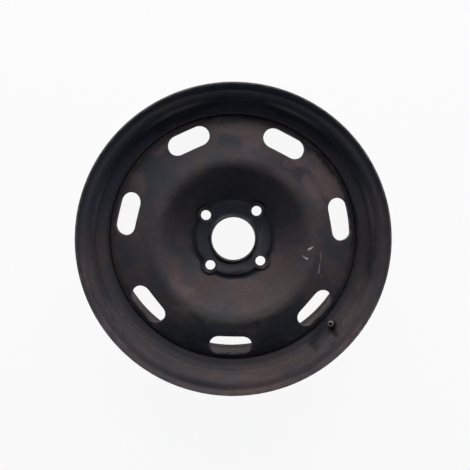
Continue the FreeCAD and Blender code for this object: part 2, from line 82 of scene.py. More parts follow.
# Landmarks of the wheel that its finish follows, in millimetres and degrees
CREASE = 182.7
LIP = 220.3
FRONT_LIP = 73.8
BACK_LIP = -115.8
BOLT_RING = 54.0
BOLT_TURN = 49.74
VENT_RING = 158.75
VENT_TURN = 11.3
VENT_COUNT = 7
VENT_HALF = 16.5
VENT_ROUND = 14.7
BORE = 32.55

# The valve's own axis: u runs along it from the rim's wall, in millimetres
VALVE_AXIS = Vector(MOUNTS["valve_thread"]["axis"]).normalized()
THREAD_MIDDLE = 30.9
VALVE_BASE = Vector(MOUNTS["valve_thread"]["pos_m"]) - VALVE_AXIS * THREAD_MIDDLE * MM
THREAD_START = 25.52
THREAD_END = 36.3
THREAD_CREST = 3.85
THREAD_ROOT = 3.42
THREAD_PITCH = 0.794
VALVE_TIP = 36.8
TUBE_FOOT = -4.4
TUBE_RADIUS = 3.2
TUBE_BORE = 1.95
CORE_BORE = 2.6
CORE_SEAT = 28.3
CORE_SEAT_DEPTH = 1.4
SPRING_FOOT = 20.3
SPRING_LENGTH = 5.5
SPRING_RADIUS = 0.9
SPRING_WIRE = 0.15
SPRING_TURNS = 7
SPRING_GAP = 0.02


class Nodes:
    """Adds nodes to one material's tree and wires them; a value given for an input is set or linked."""

    def __init__(self, material):
        self.tree = material.node_tree
        self.tree.nodes.clear()

    def add(self, kind, inputs=None, **settings):
        node = self.tree.nodes.new(kind)
        for name, value in settings.items():
            setattr(node, name, value)
        for name, value in (inputs or {}).items():
            self.feed(node.inputs[name], value)
        return node

    def feed(self, socket, value):
        if isinstance(value, bpy.types.NodeSocket):
            self.tree.links.new(value, socket)
        else:
            socket.default_value = value

    def math(self, operation, first, second=0.0, third=0.0):
        node = self.add("ShaderNodeMath", {0: first, 1: second, 2: third}, operation=operation)
        return node.outputs[0]

    def vector(self, operation, first, second=(0.0, 0.0, 0.0), output="Vector"):
        node = self.add("ShaderNodeVectorMath", {0: first, 1: second}, operation=operation)
        return node.outputs[output]

    def place(self):
        return self.add("ShaderNodeTexCoord").outputs["Object"]

    def flat(self, where):
        """The place seen along the wheel's axis."""
        return self.vector("MULTIPLY", where, (1.0, 1.0, 0.0))

    def part(self, where, axis):
        return self.add("ShaderNodeSeparateXYZ", {0: where}).outputs[axis]

    def facing(self, direction):
        """How far the surface faces a fixed direction, from -1 to 1."""
        normal = self.add("ShaderNodeNewGeometry").outputs["Normal"]
        return self.vector("DOT_PRODUCT", normal, direction, output="Value")

    def noise(self, where, scale, detail=4.0, roughness=0.55, shift=0.0):
        """Fractal noise, scale in repeats to the metre; shift picks another part of it."""
        moved = self.vector("ADD", where, (shift, -shift, 0.7 * shift))
        node = self.add("ShaderNodeTexNoise", {
            "Vector": moved,
            "Scale": scale,
            "Detail": detail,
            "Roughness": roughness,
        })
        return node.outputs["Fac"]

    def ragged(self, where, scale, reach):
        """The place moved about by noise, so that what follows it has ragged edges."""
        noise = self.add("ShaderNodeTexNoise", {"Vector": where, "Scale": scale, "Detail": 4.0})
        offset = self.vector("SUBTRACT", noise.outputs["Color"], (0.5, 0.5, 0.5))
        return self.vector("ADD", where, self.vector("MULTIPLY", offset, (reach, reach, reach)))

    def folded(self, where, turn, count):
        """The place turned back into the first of several even sectors, along the wheel's axis."""
        x, y = self.part(where, 0), self.part(where, 1)
        radius = self.vector("LENGTH", self.flat(where), output="Value")
        angle = self.math("SUBTRACT", self.math("ARCTAN2", y, x), math.radians(turn))
        half = math.pi / count
        angle = self.math("WRAP", angle, half, -half)
        across = self.math("MULTIPLY", radius, self.math("COSINE", angle))
        along = self.math("MULTIPLY", radius, self.math("SINE", angle))
        return self.add("ShaderNodeCombineXYZ", {0: across, 1: along}).outputs[0]

    def gap(self, where, start, end):
        """Distance from a straight run between two points given in millimetres."""
        start = Vector((start[0], start[1], 0)) * MM
        run = Vector((end[0], end[1], 0)) * MM - start
        if not run.length:
            return self.vector("DISTANCE", where, start, output="Value")
        offset = self.vector("SUBTRACT", where, start)
        share = self.vector("DOT_PRODUCT", offset, run / run.length_squared, output="Value")
        share = self.math("MINIMUM", self.math("MAXIMUM", share, 0.0), 1.0)
        nearest = self.add("ShaderNodeVectorMath", {0: run, "Scale": share}, operation="SCALE").outputs[0]
        return self.vector("DISTANCE", offset, nearest, output="Value")

    def step(self, value, low, high, to_low=0.0, to_high=1.0):
        """Smooth change from to_low to to_high as value goes from low to high."""
        node = self.add("ShaderNodeMapRange", {
            "Value": value,
            "From Min": low,
            "From Max": high,
            "To Min": to_low,
            "To Max": to_high,
        }, interpolation_type="SMOOTHSTEP")
        return node.outputs["Result"]

    def band(self, value, middle, half, soft):
        """1 within half of the middle, fading to 0 over soft, all in millimetres."""
        off = self.math("ABSOLUTE", self.math("SUBTRACT", value, middle * MM))
        return self.step(off, (half + soft) * MM, half * MM)

    def arc(self, flat, radius, half, soft, toward, spread):
        """Part of a ring about the wheel's axis, strongest toward one angle, or all of it.

        Lengths are in millimetres and angles in degrees; a spread of 180 or more is the whole ring.
        """
        ring = self.band(self.vector("LENGTH", flat, output="Value"), radius, half, soft)
        if spread >= 180:
            return ring
        angle = math.radians(toward)
        aim = (math.cos(angle), math.sin(angle), 0.0)
        share = self.vector("DOT_PRODUCT", self.vector("NORMALIZE", flat), aim, output="Value")
        sector = self.step(share, math.cos(math.radians(spread)), math.cos(math.radians(0.35 * spread)))
        return self.times(ring, sector)

    def times(self, first, *others):
        for other in others:
            first = self.math("MULTIPLY", first, other)
        return first

    def most(self, first, *others):
        for other in others:
            first = self.math("MAXIMUM", first, other)
        return first

    def mix(self, share, first, second, blend="MIX"):
        node = self.add("ShaderNodeMix", data_type="RGBA", blend_type=blend)
        self.feed(node.inputs[0], share)
        self.feed(node.inputs[6], first)
        self.feed(node.inputs[7], second)
        return node.outputs[2]

    def blend(self, share, first, second):
        """Number between first and second."""
        node = self.add("ShaderNodeMix", data_type="FLOAT")
        self.feed(node.inputs[0], share)
        self.feed(node.inputs[2], first)
        self.feed(node.inputs[3], second)
        return node.outputs[0]

    def shaded(self, colour, level):
        """Colour times a grey level."""
        grey = self.add("ShaderNodeCombineColor", {0: level, 1: level, 2: level}).outputs[0]
        return self.mix(1.0, colour, grey, blend="MULTIPLY")

    def bump(self, height, strength, distance, normal=None):
        inputs = {"Height": height, "Strength": strength, "Distance": distance}
        if normal is not None:
            inputs["Normal"] = normal
        return self.add("ShaderNodeBump", inputs).outputs["Normal"]

    def principled(self, inputs):
        shader = self.add("ShaderNodeBsdfPrincipled", inputs)
        output = self.add("ShaderNodeOutputMaterial")
        self.tree.links.new(shader.outputs["BSDF"], output.inputs["Surface"])


def new_material(name):
    material = bpy.data.materials.new(name)
    material.use_nodes = True
    return material, Nodes(material)


def rgb(red, green, blue):
    return (red, green, blue, 1.0)


SLATE = rgb(0.048, 0.054, 0.067)
BROWN = rgb(0.086, 0.066, 0.065)
DEEP_SLATE = rgb(0.036, 0.038, 0.046)
INK = rgb(0.022, 0.024, 0.031)
# Blue slate, used as painted shade on the rim's upper side and its inside where it faces down
RIM_SHADE_SLATE = rgb(0.045, 0.054, 0.072)
HUB_SLATE = rgb(0.044, 0.052, 0.062)
# Pink dust; also painted light at the top of the disc and on the rim's crease wall
PINK_DUST_AND_LIGHT = rgb(0.150, 0.112, 0.109)
DUST = rgb(0.100, 0.080, 0.077)
# Olive dust; also painted light on the barrel's inside at its far end
OLIVE_DUST_AND_LIGHT = rgb(0.118, 0.108, 0.092)
ROSE = rgb(0.112, 0.077, 0.075)
RED_BROWN = rgb(0.092, 0.056, 0.050)
# Near-black: real dirt on the welds, and painted shade and painted shadows on the disc and rim
SHADE_AND_GRIME = rgb(0.014, 0.014, 0.016)
# Worn grey on rubbed edges; also painted highlights on the hub's lower side and the bore's lip
WEAR_AND_HIGHLIGHT_GREY = rgb(0.125, 0.118, 0.118)
RUST = rgb(0.115, 0.050, 0.026)
PRIMER = rgb(0.66, 0.60, 0.57)

# Worn and dusty patches on the disc's face, with painted shade on its lower slope and painted light at its
# top:
# a run between two points in millimetres, its reach, colour and strength
PATCHES = [
    # The next two: pink dust, and painted light where the rim shades the top of the disc
    ((-24, 164), (36, 158), 24, PINK_DUST_AND_LIGHT, 0.75),
    ((112, 114), (152, 62), 19, PINK_DUST_AND_LIGHT, 0.8),
    ((-114, 133), (-100, 142), 15, PINK_DUST_AND_LIGHT, 0.6),
    ((-143, 93), (-135, 82), 15, PINK_DUST_AND_LIGHT, 0.4),
    ((-98, 46), (-103, -14), 17, PINK_DUST_AND_LIGHT, 0.18),
    ((141, -26), (151, -58), 17, PINK_DUST_AND_LIGHT, 0.18),
    ((-52, -66), (-44, -76), 16, RED_BROWN, 0.6),
    ((106, 22), (108, 38), 11, RED_BROWN, 0.6),
    ((-22, -82), (32, -82), 17, RED_BROWN, 0.3),
    ((-118, 104), (-90, 92), 21, SLATE, 0.8),
    ((74, 110), (104, 92), 16, DEEP_SLATE, 0.75),
    ((42, 114), (54, 110), 14, DEEP_SLATE, 0.5),
    ((-34, 120), (-22, 124), 13, SLATE, 0.5),
    ((-126, 62), (-124, 40), 12, SLATE, 0.7),
    ((130, 14), (137, 1), 14, SLATE, 0.75),
    ((-161, -8), (-156, -30), 18, SLATE, 0.85),
    ((-118, -39), (-98, -62), 12, SLATE, 0.6),
    # The next two: painted shade on the disc's lower outer slope
    ((46, -142), (98, -112), 27, DEEP_SLATE, 0.95),
    ((-98, -140), (-46, -140), 27, DEEP_SLATE, 0.9),
    ((-14, 146), (2, 140), 13, SLATE, 0.7),
    ((-30, 108), (20, 112), 13, SLATE, 0.5),
    ((-122, 82), (-116, 64), 14, SLATE, 0.8),
    # The next three: painted shade on the disc's lower slope
    ((66, -110), (94, -88), 15, DEEP_SLATE, 0.85),
    ((-64, -152), (-50, -154), 18, INK, 0.6),
    ((50, -156), (70, -152), 18, INK, 0.7),
    ((142, -12), (147, -22), 13, SLATE, 0.6),
    ((-104, -62), (-96, -72), 12, SLATE, 0.5),
    ((18, 138), (30, 138), 12, PINK_DUST_AND_LIGHT, 0.45),
    ((26, 151), (28, 150), 9, SLATE, 0.2),
    ((88, 120), (94, 114), 12, PINK_DUST_AND_LIGHT, 0.5),
    ((106, 84), (116, 70), 15, PINK_DUST_AND_LIGHT, 0.6),
    ((-76, -97), (-72, -100), 13, PINK_DUST_AND_LIGHT, 0.5),
    ((120, 58), (122, 52), 13, PINK_DUST_AND_LIGHT, 0.4),
    ((-92, -26), (-86, -46), 14, ROSE, 0.6),
    ((-76, 14), (-76, -2), 13, ROSE, 0.5),
    ((-124, 2), (-124, -10), 12, ROSE, 0.2),
    ((28, -70), (36, -68), 14, ROSE, 0.4),
    ((-86, -52), (-70, -76), 13, ROSE, 0.5),
    ((62, -42), (66, -34), 13, ROSE, 0.3),
    ((-36, -62), (-28, -64), 12, RED_BROWN, 0.6),
    ((98, 68), (94, 60), 10, RED_BROWN, 0.5),
    ((-94, 151), (-76, 160), 9, PINK_DUST_AND_LIGHT, 0.5),
    ((66, 164), (84, 157), 9, PINK_DUST_AND_LIGHT, 0.5),
    ((76, 112), (86, 108), 10, ROSE, 0.55),
    ((-82, 34), (-82, 24), 12, ROSE, 0.35),
    ((-99, -28), (-97, -40), 12, ROSE, 0.35),
    ((98, 82), (100, 78), 10, SLATE, 0.5),
    ((112, 114), (114, 110), 10, SLATE, 0.45),
    ((-128, 8), (-128, -4), 10, SLATE, 0.55),
    # The next two: painted shade along the crown's lower edge
    ((-60, -106), (-44, -112), 10, INK, 0.55),
    ((8, -124), (34, -122), 10, INK, 0.5),
    ((20, 158), (24, 157), 10, PINK_DUST_AND_LIGHT, 0.45),
    ((97, -17), (97, -15), 8, ROSE, 0.35),
    ((118, -50), (120, -58), 13, SLATE, 0.35),
    # The next three: painted shade on the disc's lower slope
    ((-42, -150), (-34, -152), 12, INK, 0.5),
    ((34, -164), (42, -162), 11, INK, 0.5),
    ((88, -142), (96, -138), 12, INK, 0.5),
    ((-84, -58), (-66, -77), 10, PINK_DUST_AND_LIGHT, 0.35),
]

# Arcs on the disc's face: radius, half width and soft edge in millimetres, angle and spread in degrees,
# colour and strength
ARCS = [
    # Painted shade on the bowl's upper wall
    (80, 18, 14, 90, 130, INK, 0.6),
    (46, 12, 5, 0, 360, HUB_SLATE, 0.6),
    # Painted shadow on the top of the hub
    (50, 9, 5, 90, 130, INK, 0.95),
    # Painted shade in the valley round the hub
    (59, 2.5, 3, 0, 360, INK, 0.35),
    # Painted highlight on the hub's lower side
    (45, 4, 4, 262, 45, WEAR_AND_HIGHLIGHT_GREY, 0.45),
    (44, 3, 4, 350, 40, WEAR_AND_HIGHLIGHT_GREY, 0.3),
    # The next two: painted shade below the bore and on the hub's lower side
    (36.2, 1.6, 1.6, 265, 170, SHADE_AND_GRIME, 0.9),
    (58.5, 2.5, 3, 265, 100, INK, 0.6),
    # Painted highlight on the bore's lip at the top
    (34.0, 0.8, 1.4, 75, 120, WEAR_AND_HIGHLIGHT_GREY, 0.6),
    (119, 3, 5, 275, 60, OLIVE_DUST_AND_LIGHT, 0.45),
    # The next four: painted shade by the crease at the disc's edge
    (178, 3, 4, 270, 110, INK, 0.8),
    (179, 4, 4, 27, 45, INK, 0.75),
    (178, 3, 4, 150, 45, INK, 0.4),
    (174, 2, 3, 92, 45, SLATE, 0.45),
    # Painted light on the disc's edge at the top, by the crease
    (181, 1.5, 2, 90, 75, PINK_DUST_AND_LIGHT, 0.6),
    (143, 4, 5, 268, 16, INK, 0.5),
    # Painted shade in the crease at the bottom
    (177, 5, 4, 270, 30, SHADE_AND_GRIME, 0.6),
]

# Stretches of the rim's front: angle and spread in degrees, inner and outer radius in millimetres,
# colour and strength
RIM_PATCHES = [
    (352, 22, 186, 200, INK, 0.45),
    (215, 40, 205, 213, PINK_DUST_AND_LIGHT, 0.35),
    (300, 40, 205, 213, PINK_DUST_AND_LIGHT, 0.35),
    (330, 20, 200, 213, PINK_DUST_AND_LIGHT, 0.3),
    # The next five: painted shade on the rim's upper side
    (150, 40, 186, 222, RIM_SHADE_SLATE, 0.6),
    (75, 40, 206, 222, RIM_SHADE_SLATE, 0.5),
    (112, 28, 192, 203, SHADE_AND_GRIME, 0.45),
    (62, 26, 194, 204, SHADE_AND_GRIME, 0.45),
    (88, 60, 194, 203, SHADE_AND_GRIME, 0.2),
]

# Painted shadows of the valve on the rim's wall: a run in millimetres, its reach, colour and strength
VALVE_SHADOWS = [
    ((144, -127), (147.5, -133), 6, SHADE_AND_GRIME, 0.8),
    ((136, -122), (118, -154), 9, SHADE_AND_GRIME, 0.7),
]

# Scratches through the paint of the disc: two ends in millimetres, half width and strength
SCRATCHES = [
    ((107.6, -12.4), (114.2, -8.0), 0.7, 0.6),
    ((109.2, -11.2), (112.2, -9.4), 1.3, 0.9),
    ((100.8, -21.8), (104.2, -24.2), 0.8, 0.4),
    ((104.4, -24.3), (106.4, -25.3), 1.3, 0.85),
    ((126.3, -15.6), (126.7, -29.0), 0.8, 0.2),
    ((125.6, -33.3), (124.4, -46.0), 0.7, 0.36),
    ((124.2, -44.6), (124.0, -46.4), 1.0, 0.5),
    ((127.6, -51.4), (127.6, -51.4), 0.9, 0.35),
]


def old_paint(nodes, place):
    """Colour of the old black paint that every pressed piece has: mottled, with dust where it faced up."""
    ragged = nodes.ragged(place, 26, 0.03)
    broad = nodes.step(nodes.noise(ragged, 14, detail=5), 0.40, 0.62)
    small = nodes.step(nodes.noise(ragged, 62, detail=5, shift=2.3), 0.36, 0.64)
    share = nodes.math("ADD", nodes.times(broad, 0.68), nodes.times(small, 0.32))
    colour = nodes.mix(share, SLATE, BROWN)
    faced_up = nodes.step(nodes.facing((0.0, 0.97, 0.24)), 0.35, 0.95)
    drift = nodes.step(nodes.noise(place, 38, detail=6, shift=4.1), 0.32, 0.66, 0.25, 1.0)
    return nodes.mix(nodes.times(faced_up, drift, 0.5), colour, DUST)


def finish_paint(nodes, place, colour, worn, grime_and_shade, bright=None):
    """Grain, worn edges, dirt and painted shade, and chips over the paint, and its gloss and skin."""
    grain = nodes.step(nodes.noise(place, 420, detail=3, shift=1.7), 0.25, 0.75, 0.84, 1.16)
    colour = nodes.shaded(colour, grain)
    specks = nodes.step(nodes.noise(place, 900, detail=2, shift=3.3), 0.68, 0.76)
    colour = nodes.mix(nodes.times(specks, 0.35), colour, DUST)
    chips = nodes.step(nodes.noise(place, 240, detail=5, roughness=0.7, shift=6.1), 0.56, 0.62)
    broken = nodes.step(nodes.noise(place, 75, detail=5, shift=8.2), 0.36, 0.66)
    colour = nodes.mix(nodes.times(worn, broken), colour, WEAR_AND_HIGHLIGHT_GREY)
    bare = nodes.times(worn, chips)
    colour = nodes.mix(nodes.times(bare, 0.7), colour, RUST)
    # Darkening by the mask: real dirt on the welds, painted shade in the disc's and rim's creases and
    # corners
    colour = nodes.mix(grime_and_shade, colour, SHADE_AND_GRIME)
    roughness = nodes.step(nodes.noise(place, 34, detail=5, shift=5.3), 0.3, 0.7, 0.58, 0.74)
    roughness = nodes.blend(nodes.most(grime_and_shade, bare), roughness, 0.85)
    if bright is not None:
        colour = nodes.mix(bright, colour, PRIMER)
    height = nodes.math("SUBTRACT", nodes.noise(place, 760, detail=3, shift=2.2), nodes.times(bare, 0.8))
    skin = nodes.bump(height, 0.16, 0.0004)
    normal = nodes.bump(nodes.noise(place, 48, detail=3, shift=7.9), 0.12, 0.002, skin)
    nodes.principled({
        "Base Color": colour,
        "Roughness": roughness,
        "Specular IOR Level": 0.12,
        "Normal": normal,
    })


def disc_paint():
    """Paint of the disc: hand-worn patches, scratches, chipped vents and a rubbed bore, with painted shade
    in its corners, creases and lower side, and painted light at its top and round the hub.
    """
    material, nodes = new_material("disc_worn_paint")
    place = nodes.place()
    flat = nodes.flat(place)
    colour = old_paint(nodes, place)
    ragged = nodes.flat(nodes.ragged(place, 34, 0.026))
    front = nodes.step(nodes.facing((0.0, 0.0, 1.0)), 0.0, 0.3)
    for start, end, reach, tone, strength in PATCHES:
        near = nodes.step(nodes.gap(ragged, start, end), reach * MM, 0.25 * reach * MM, 0.0, strength)
        colour = nodes.mix(nodes.times(near, front), colour, tone)
    for radius, half, soft, toward, spread, tone, strength in ARCS:
        near = nodes.arc(ragged, radius, half, soft, toward, spread)
        colour = nodes.mix(nodes.times(near, front, strength), colour, tone)
    radius = nodes.vector("LENGTH", flat, output="Value")
    vent = nodes.folded(place, VENT_TURN, VENT_COUNT)
    vent_gap = nodes.gap(vent, (VENT_RING, -VENT_HALF), (VENT_RING, VENT_HALF))
    vent_edge = nodes.step(vent_gap, (VENT_ROUND + 2.4) * MM, (VENT_ROUND + 0.4) * MM)
    bore_edge = nodes.band(radius, BORE + 0.6, 0.7, 1.2)
    bolt = nodes.folded(place, BOLT_TURN, 4)
    bolt_gap = nodes.gap(bolt, (BOLT_RING, 0), (BOLT_RING, 0))
    seat_edge = nodes.band(bolt_gap, 10.2, 0.3, 0.8)
    worn = nodes.most(
        nodes.times(vent_edge, 0.8),
        nodes.times(bore_edge, 0.9),
        nodes.times(seat_edge, 0.5),
    )
    # Painted shade in the bolt seats, in the crease at the disc's edge and in the valley round the hub
    seat = nodes.step(bolt_gap, 10.2 * MM, 8.4 * MM)
    crease = nodes.step(radius, (CREASE - 2.5) * MM, (CREASE - 0.6) * MM)
    valley = nodes.band(radius, 60.0, 1.6, 2.6)
    grime_and_shade = nodes.most(nodes.times(seat, 0.55), nodes.times(crease, 0.4), nodes.times(valley, 0.55))
    rough_edge = nodes.flat(nodes.ragged(place, 700, 0.0012))
    lines = []
    for start, end, half, strength in SCRATCHES:
        off = nodes.gap(rough_edge, start, end)
        lines.append(nodes.step(off, (half + 0.4) * MM, 0.4 * half * MM, 0.0, strength))
    finish_paint(nodes, place, colour, worn, grime_and_shade, nodes.times(nodes.most(*lines), front))
    return material


def rim_paint():
    """Paint of the rim: rubbed lips, tyre marks on the bead seats, painted light at the barrel's far end,
    painted shade by the disc, in the creases, on the heel and where the inside faces down, and painted
    valve shadows.
    """
    material, nodes = new_material("rim_worn_paint")
    place = nodes.place()
    ragged = nodes.flat(nodes.ragged(place, 34, 0.026))
    colour = old_paint(nodes, place)
    flat = nodes.flat(place)
    radius = nodes.vector("LENGTH", flat, output="Value")
    height = nodes.part(place, 2)
    outward = nodes.vector("DOT_PRODUCT", nodes.add("ShaderNodeNewGeometry").outputs["Normal"],
                           nodes.vector("NORMALIZE", flat), output="Value")
    tyre_side = nodes.step(outward, 0.15, 0.45)
    rings = nodes.noise(nodes.vector("MULTIPLY", place, (9.0, 9.0, 420.0)), 1.0, detail=4, shift=3.0)
    rubbed = nodes.times(tyre_side, nodes.step(rings, 0.42, 0.66))
    colour = nodes.mix(nodes.times(rubbed, 0.55), colour, DEEP_SLATE)
    streaks = nodes.noise(nodes.vector("MULTIPLY", place, (26.0, 26.0, 60.0)), 1.0, detail=6, shift=9.0)
    stain = nodes.step(streaks, 0.56, 0.72)
    colour = nodes.mix(nodes.times(tyre_side, stain, 0.6), colour, RUST)
    inside = nodes.step(outward, 0.2, -0.2)
    # Painted shade: inside surfaces that face down are turned to a darker blue
    shaded_underside = nodes.step(nodes.facing((0.0, -1.0, 0.0)), 0.0, 0.8)
    colour = nodes.mix(nodes.times(shaded_underside, inside, 0.85), colour, RIM_SHADE_SLATE)
    open_side = nodes.step(outward, 0.3, 0.0)
    for toward, spread, inner, outer, tone, strength in RIM_PATCHES:
        near = nodes.arc(ragged, (inner + outer) / 2, (outer - inner) / 2, 4, toward, spread)
        colour = nodes.mix(nodes.times(near, open_side, strength), colour, tone)
    for start, end, reach, tone, strength in VALVE_SHADOWS:
        near = nodes.step(nodes.gap(flat, start, end), reach * MM, 0.3 * reach * MM, 0.0, strength)
        colour = nodes.mix(nodes.times(near, open_side), colour, tone)
    # Painted light on the barrel's inside at its far end, and painted shade on it by the disc
    facing_in = nodes.step(outward, 0.6, 0.3)
    far_end = nodes.step(height, -62 * MM, -98 * MM)
    colour = nodes.mix(nodes.times(facing_in, far_end, 0.6), colour, OLIVE_DUST_AND_LIGHT)
    by_disc = nodes.times(nodes.step(height, -62 * MM, -30 * MM), nodes.step(height, 14 * MM, 4 * MM))
    colour = nodes.mix(nodes.times(facing_in, by_disc, 0.75), colour, INK)
    # Painted shade on the heel, stronger towards the top
    heel = nodes.times(nodes.band(radius, 203.5, 2.5, 4.5), nodes.step(height, 52 * MM, 60 * MM))
    high_side = nodes.step(nodes.part(place, 1), -60 * MM, 120 * MM, 0.25, 0.85)
    colour = nodes.mix(nodes.times(heel, high_side), colour, INK)
    # Painted shade in the crease at the bottom, and painted light on the crease wall at the top
    low_crease = nodes.arc(flat, CREASE + 2, 3, 5, 270, 110)
    colour = nodes.mix(nodes.times(low_crease, 0.6), colour, INK)
    high_crease = nodes.arc(flat, CREASE, 1.0, 1.4, 90, 75)
    colour = nodes.mix(nodes.times(high_crease, 0.8), colour, PINK_DUST_AND_LIGHT)
    lip = nodes.step(radius, (LIP - 3.2) * MM, (LIP - 0.4) * MM)
    front_end = nodes.step(height, (FRONT_LIP - 2.2) * MM, (FRONT_LIP - 0.5) * MM)
    back_end = nodes.step(height, (BACK_LIP + 2.2) * MM, (BACK_LIP + 0.5) * MM)
    worn = nodes.most(nodes.times(lip, 0.55), nodes.times(front_end, 0.8), nodes.times(back_end, 0.9))
    # Painted shade in the crease inside the rim, stronger towards the lower side
    crease = nodes.step(radius, (CREASE + 6.0) * MM, (CREASE + 1.0) * MM)
    above = nodes.step(height, 8 * MM, 14 * MM)
    low_side = nodes.step(nodes.part(place, 1), 130 * MM, 20 * MM, 0.1, 0.4)
    grime_and_shade = nodes.times(crease, above, inside, low_side)
    finish_paint(nodes, place, colour, worn, grime_and_shade)
    return material


def weld_paint():
    """Painted weld metal with soot and rust."""
    material, nodes = new_material("weld_worn_paint")
    place = nodes.place()
    colour = old_paint(nodes, place)
    rust = nodes.step(nodes.noise(place, 130, detail=6, shift=1.3), 0.52, 0.66)
    colour = nodes.mix(nodes.times(rust, 0.55), colour, RUST)
    worn = nodes.step(nodes.noise(place, 200, detail=4, shift=3.7), 0.55, 0.7, 0.0, 0.6)
    grime_and_shade = nodes.step(nodes.noise(place, 55, detail=4, shift=6.9), 0.45, 0.7, 0.0, 0.6)
    finish_paint(nodes, place, colour, worn, grime_and_shade)
    return material


def valve_height(nodes, place):
    """Distance along the valve's axis from the rim's wall, in metres."""
    along = nodes.vector("DOT_PRODUCT", place, VALVE_AXIS, output="Value")
    return nodes.math("SUBTRACT", along, VALVE_BASE.dot(VALVE_AXIS))


def valve_rubber():
    """Moulded rubber, bloomed grey and dusty."""
    material, nodes = new_material("valve_dusty_rubber")
    place = nodes.place()
    bloom = nodes.step(nodes.noise(place, 240, detail=6), 0.38, 0.68)
    colour = nodes.mix(bloom, rgb(0.016, 0.016, 0.017), rgb(0.036, 0.034, 0.034))
    dusty = nodes.step(nodes.noise(place, 900, detail=4, shift=2.0), 0.55, 0.75, 0.0, 0.5)
    colour = nodes.mix(dusty, colour, rgb(0.075, 0.062, 0.058))
    roughness = nodes.step(bloom, 0.0, 1.0, 0.58, 0.8)
    normal = nodes.bump(nodes.noise(place, 2600, detail=3), 0.2, 0.0002)
    nodes.principled({
        "Base Color": colour,
        "Roughness": roughness,
        "Specular IOR Level": 0.3,
        "Normal": normal,
    })
    return material


def metal(name, clean, tarnish, share, rough, scale):
    """Bare or plated metal with tarnish, fine turning lines along the valve's axis and dull spots."""
    material, nodes = new_material(name)
    place = nodes.place()
    tarnished = nodes.step(nodes.noise(place, scale, detail=6), 0.40, 0.68, 0.0, share)
    spots = nodes.step(nodes.noise(place, 4 * scale, detail=4, shift=1.9), 0.62, 0.72, 0.0, share)
    dull = nodes.most(tarnished, spots)
    colour = nodes.mix(dull, clean, tarnish)
    roughness = nodes.blend(dull, rough, rough + 0.28)
    turned = nodes.math("MULTIPLY", valve_height(nodes, place), 16000.0)
    lines = nodes.add("ShaderNodeTexNoise", {"W": turned, "Scale": 1.0, "Detail": 2.0},
                      noise_dimensions="1D").outputs["Fac"]
    normal = nodes.bump(lines, 0.12, 0.0001)
    nodes.principled({
        "Base Color": colour,
        "Roughness": roughness,
        "Metallic": 1.0,
        "Normal": normal,
    })
    return material


def seal_rubber():
    """Red sealing rubber with a dull skin."""
    material, nodes = new_material("core_red_seal")
    place = nodes.place()
    mottle = nodes.step(nodes.noise(place, 1500, detail=5), 0.35, 0.65)
    colour = nodes.mix(mottle, rgb(0.24, 0.045, 0.038), rgb(0.34, 0.075, 0.058))
    roughness = nodes.step(mottle, 0.0, 1.0, 0.55, 0.72)
    normal = nodes.bump(nodes.noise(place, 5000, detail=3), 0.15, 0.0001)
    nodes.principled({"Base Color": colour, "Roughness": roughness, "Normal": normal})
    return material


def piece(name, verts, faces, material, node, sharp=40):
    """A mesh that stands for a CAD node and rides on the wheel."""
    mesh = bpy.data.meshes.new(name)
    mesh.from_pydata(verts, [], faces)
    mesh.validate()
    for face in mesh.polygons:
        face.use_smooth = True
    mesh.set_sharp_from_angle(angle=math.radians(sharp))
    mesh.materials.append(material)
    thing = bpy.data.objects.new(name, mesh)
    bpy.context.scene.collection.objects.link(thing)
    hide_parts(node)
    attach(thing, WHEEL_BODY)
    return thing


def on_valve(radius, angle, along):
    """A point about the valve's axis; radius and along are in millimetres."""
    side = VALVE_AXIS.orthogonal().normalized()
    other = VALVE_AXIS.cross(side)
    spoke = side * math.cos(angle) + other * math.sin(angle)
    return VALVE_BASE + (VALVE_AXIS * along + spoke * radius) * MM


def closed_lathe(rings, around):
    """Points and faces of a ring-shaped solid; a ring gives its radius and height at an angle."""
    verts = []
    faces = []
    for ring in rings:
        for k in range(around):
            angle = 2 * math.pi * k / around
            radius, along = ring(angle)
            verts.append(on_valve(radius, angle, along))
    count = len(rings)
    for i in range(count):
        here, there = i * around, (i + 1) % count * around
        for k in range(around):
            after = (k + 1) % around
            faces.append((here + k, here + after, there + after, there + k))
    return verts, faces


def fixed(radius, along):
    return lambda angle: (radius, along)


def threaded(along):
    """One ring of the thread's flank: a rounded ridge that winds round the tip and runs out at its ends."""
    def ring(angle):
        phase = (along / THREAD_PITCH - angle / (2 * math.pi)) % 1.0
        ridge = 0.5 - 0.5 * math.cos(2 * math.pi * phase)
        ridge = min(1.0, max(0.0, 1.35 * ridge - 0.15))
        fade = min(1.0, (along - THREAD_START) / 0.8, (THREAD_END - along) / 0.6)
        return THREAD_ROOT + (THREAD_CREST - THREAD_ROOT) * ridge * max(fade, 0.0), along
    return ring


def make_valve_tube(material):
    """The metal tube with a wound thread at its bare tip."""
    steps = 150
    span = THREAD_END - THREAD_START
    shoulder = THREAD_START - 0.02
    rings = [
        fixed(TUBE_BORE, TUBE_FOOT),
        fixed(TUBE_RADIUS, TUBE_FOOT),
        fixed(TUBE_RADIUS, shoulder),
        fixed(THREAD_ROOT, shoulder),
    ]
    rings += [threaded(THREAD_START + span * k / steps) for k in range(steps + 1)]
    rings += [
        fixed(3.34, VALVE_TIP - 0.24),
        fixed(TUBE_RADIUS, VALVE_TIP - 0.06),
        fixed(3.05, VALVE_TIP),
        fixed(2.72, VALVE_TIP),
        fixed(CORE_BORE, VALVE_TIP - 0.14),
        fixed(CORE_BORE, CORE_SEAT),
        fixed(TUBE_BORE, CORE_SEAT - CORE_SEAT_DEPTH),
    ]
    verts, faces = closed_lathe(rings, 72)
    piece("valve_tube_threaded", verts, faces, material, "valve_tube")


